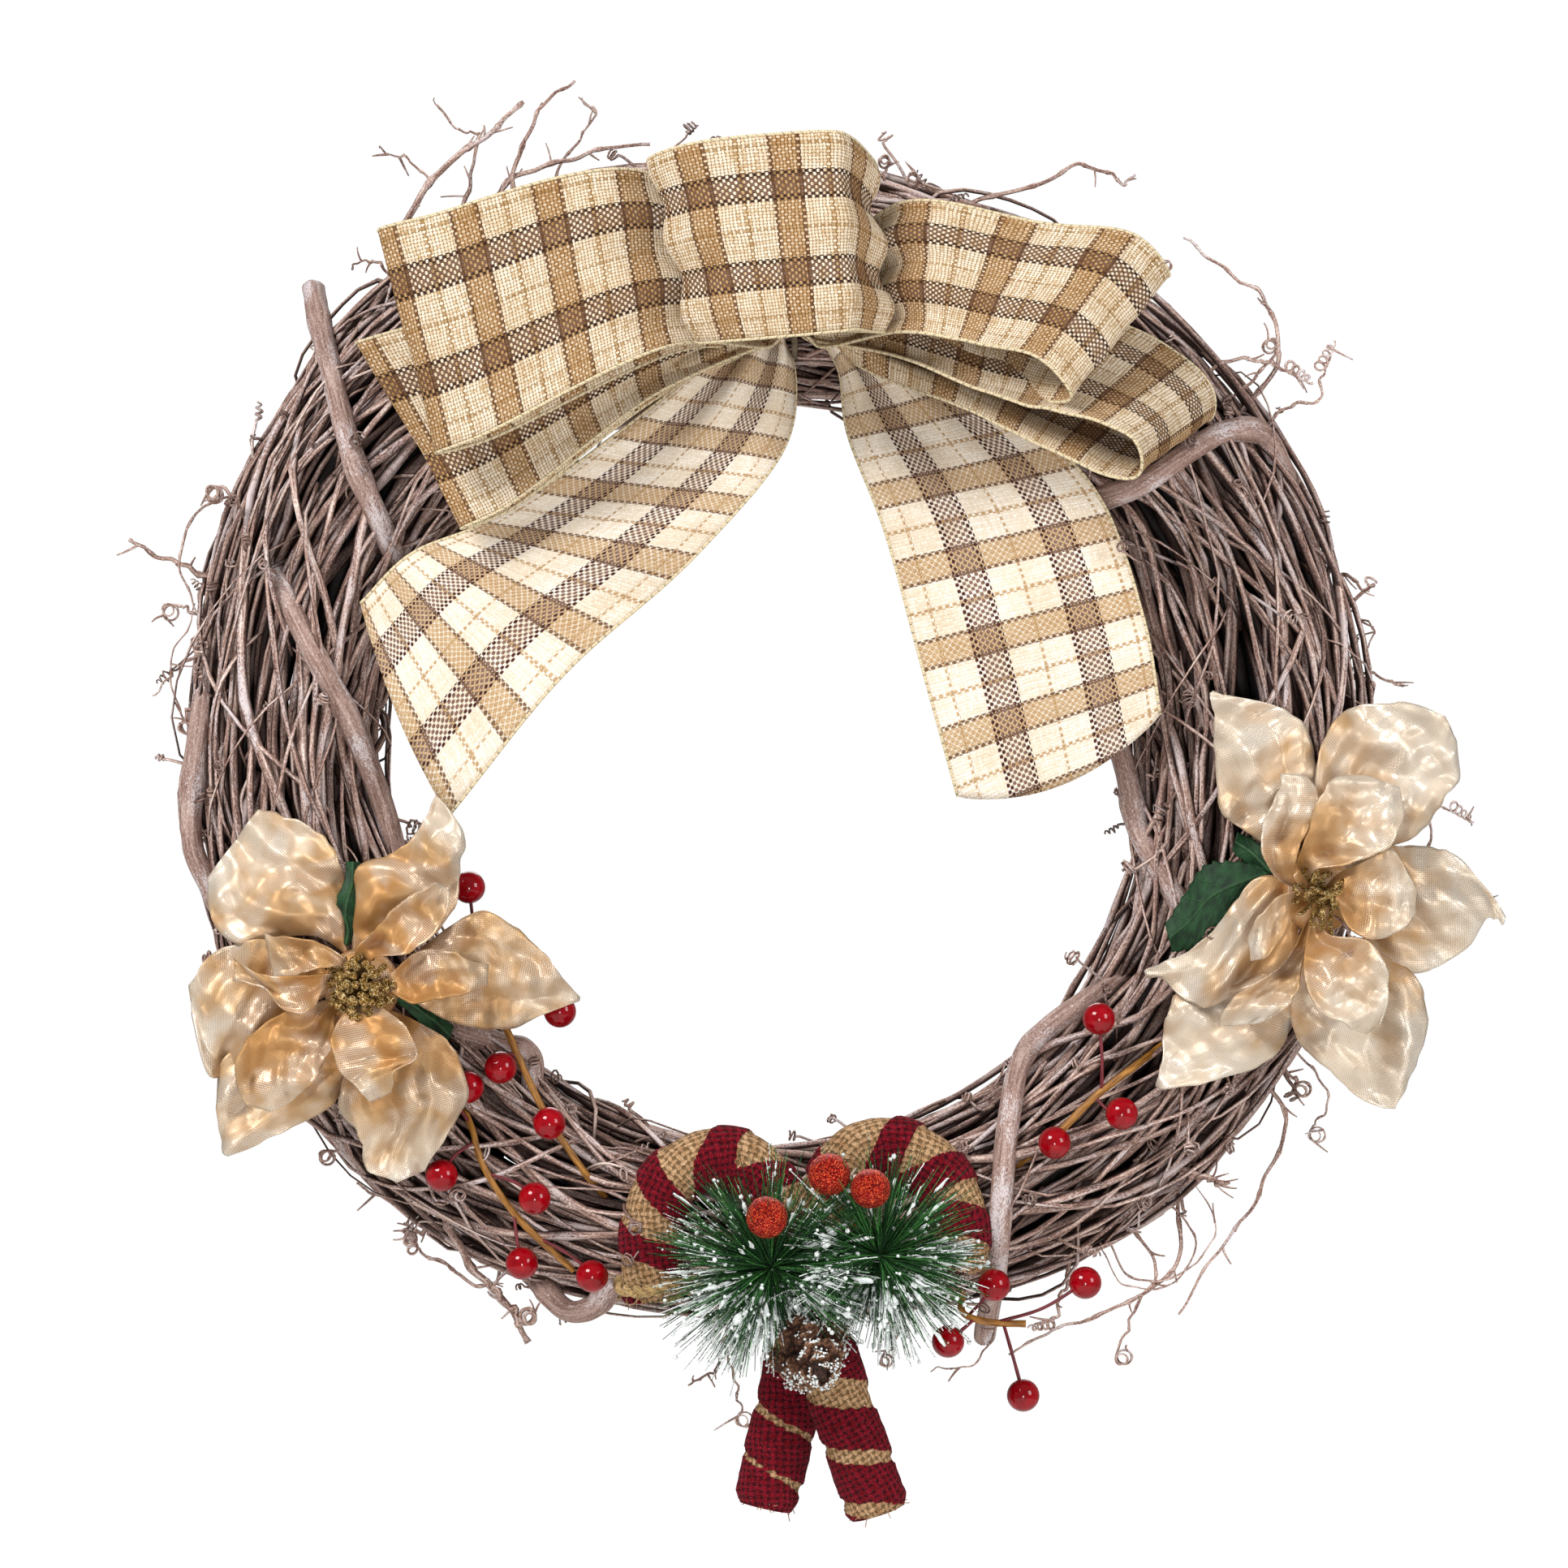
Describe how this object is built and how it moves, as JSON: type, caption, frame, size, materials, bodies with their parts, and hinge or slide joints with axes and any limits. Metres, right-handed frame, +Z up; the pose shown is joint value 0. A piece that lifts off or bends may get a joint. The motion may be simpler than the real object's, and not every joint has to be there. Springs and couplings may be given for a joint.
{
  "type": "christmas wreath",
  "caption": "Grapevine christmas wreath with a plaid ribbon bow, champagne poinsettias, red berries, burlap candy canes and snowy pine.",
  "frame": {"origin": "the hanging point, at the top of the ring's hole, in the middle of the ring's depth", "axes": "+X to the right of someone facing the wreath, +Y back towards the wall or door, +Z up"},
  "size_m": [0.4252, 0.107, 0.439],
  "materials": {
    "vine": "matte grapevine strands, greyed and whitewashed",
    "thick_vine": "matte barked vine with pale patches",
    "plaid_ribbon": "open linen weave, cream and brown plaid",
    "tie_wire": "dull brown",
    "champagne_cloth": "crinkled metallic lame with a satin sheen",
    "gold_glitter": "gold glitter",
    "green_leaf": "pressed polyester leaf, satin",
    "berry_red": "gloss lacquer",
    "glitter_red": "red glitter",
    "burlap": "coarse jute, dark red over tan",
    "jute_twine": "rough jute",
    "pine_needles": "cut film needles, snow flocked",
    "cone": "dry scales with white frost"
  },
  "bodies": {
    "root": {"glitter_berry_left": "glitter_red", "glitter_berry_middle": "glitter_red", "glitter_berry_right": "glitter_red", "pine_cone": "cone", "pine_spray_left": "pine_needles", "pine_spray_right": "pine_needles", "bow_tie": "tie_wire", "tail_left": "plaid_ribbon", "tail_right": "plaid_ribbon", "loop_lower_left": "plaid_ribbon", "loop_upper_left": "plaid_ribbon", "loop_lower_right": "plaid_ribbon", "loop_upper_right": "plaid_ribbon", "loop_centre": "plaid_ribbon", "stamens_left": "gold_glitter", "poinsettia_left": "champagne_cloth", "poinsettia_leaves_left": "green_leaf", "stamens_right": "gold_glitter", "poinsettia_right": "champagne_cloth", "poinsettia_leaves_right": "green_leaf", "berry_pick_left_upper": "berry_red", "berry_pick_left_lower": "berry_red", "berry_pick_right": "berry_red", "berry_pick_bottom": "berry_red", "twine_tie": "jute_twine", "candy_cane_left": "burlap", "candy_cane_right": "burlap", "binding_vine_upper_left": "thick_vine", "binding_vine_mid_left": "thick_vine", "binding_vine_outer_left": "thick_vine", "binding_vine_right": "thick_vine", "binding_vine_inner_right": "thick_vine", "binding_vine_lower_right": "thick_vine", "binding_vine_bottom": "thick_vine", "binding_vine_lower_left": "thick_vine", "vine_ring_right": "vine", "vine_ring_upper_right": "vine", "vine_ring_top": "vine", "vine_ring_upper_left": "vine", "vine_ring_left": "vine", "vine_ring_lower_left": "vine", "vine_ring_bottom": "vine", "vine_ring_lower_right": "vine"}
  },
  "joints": []
}
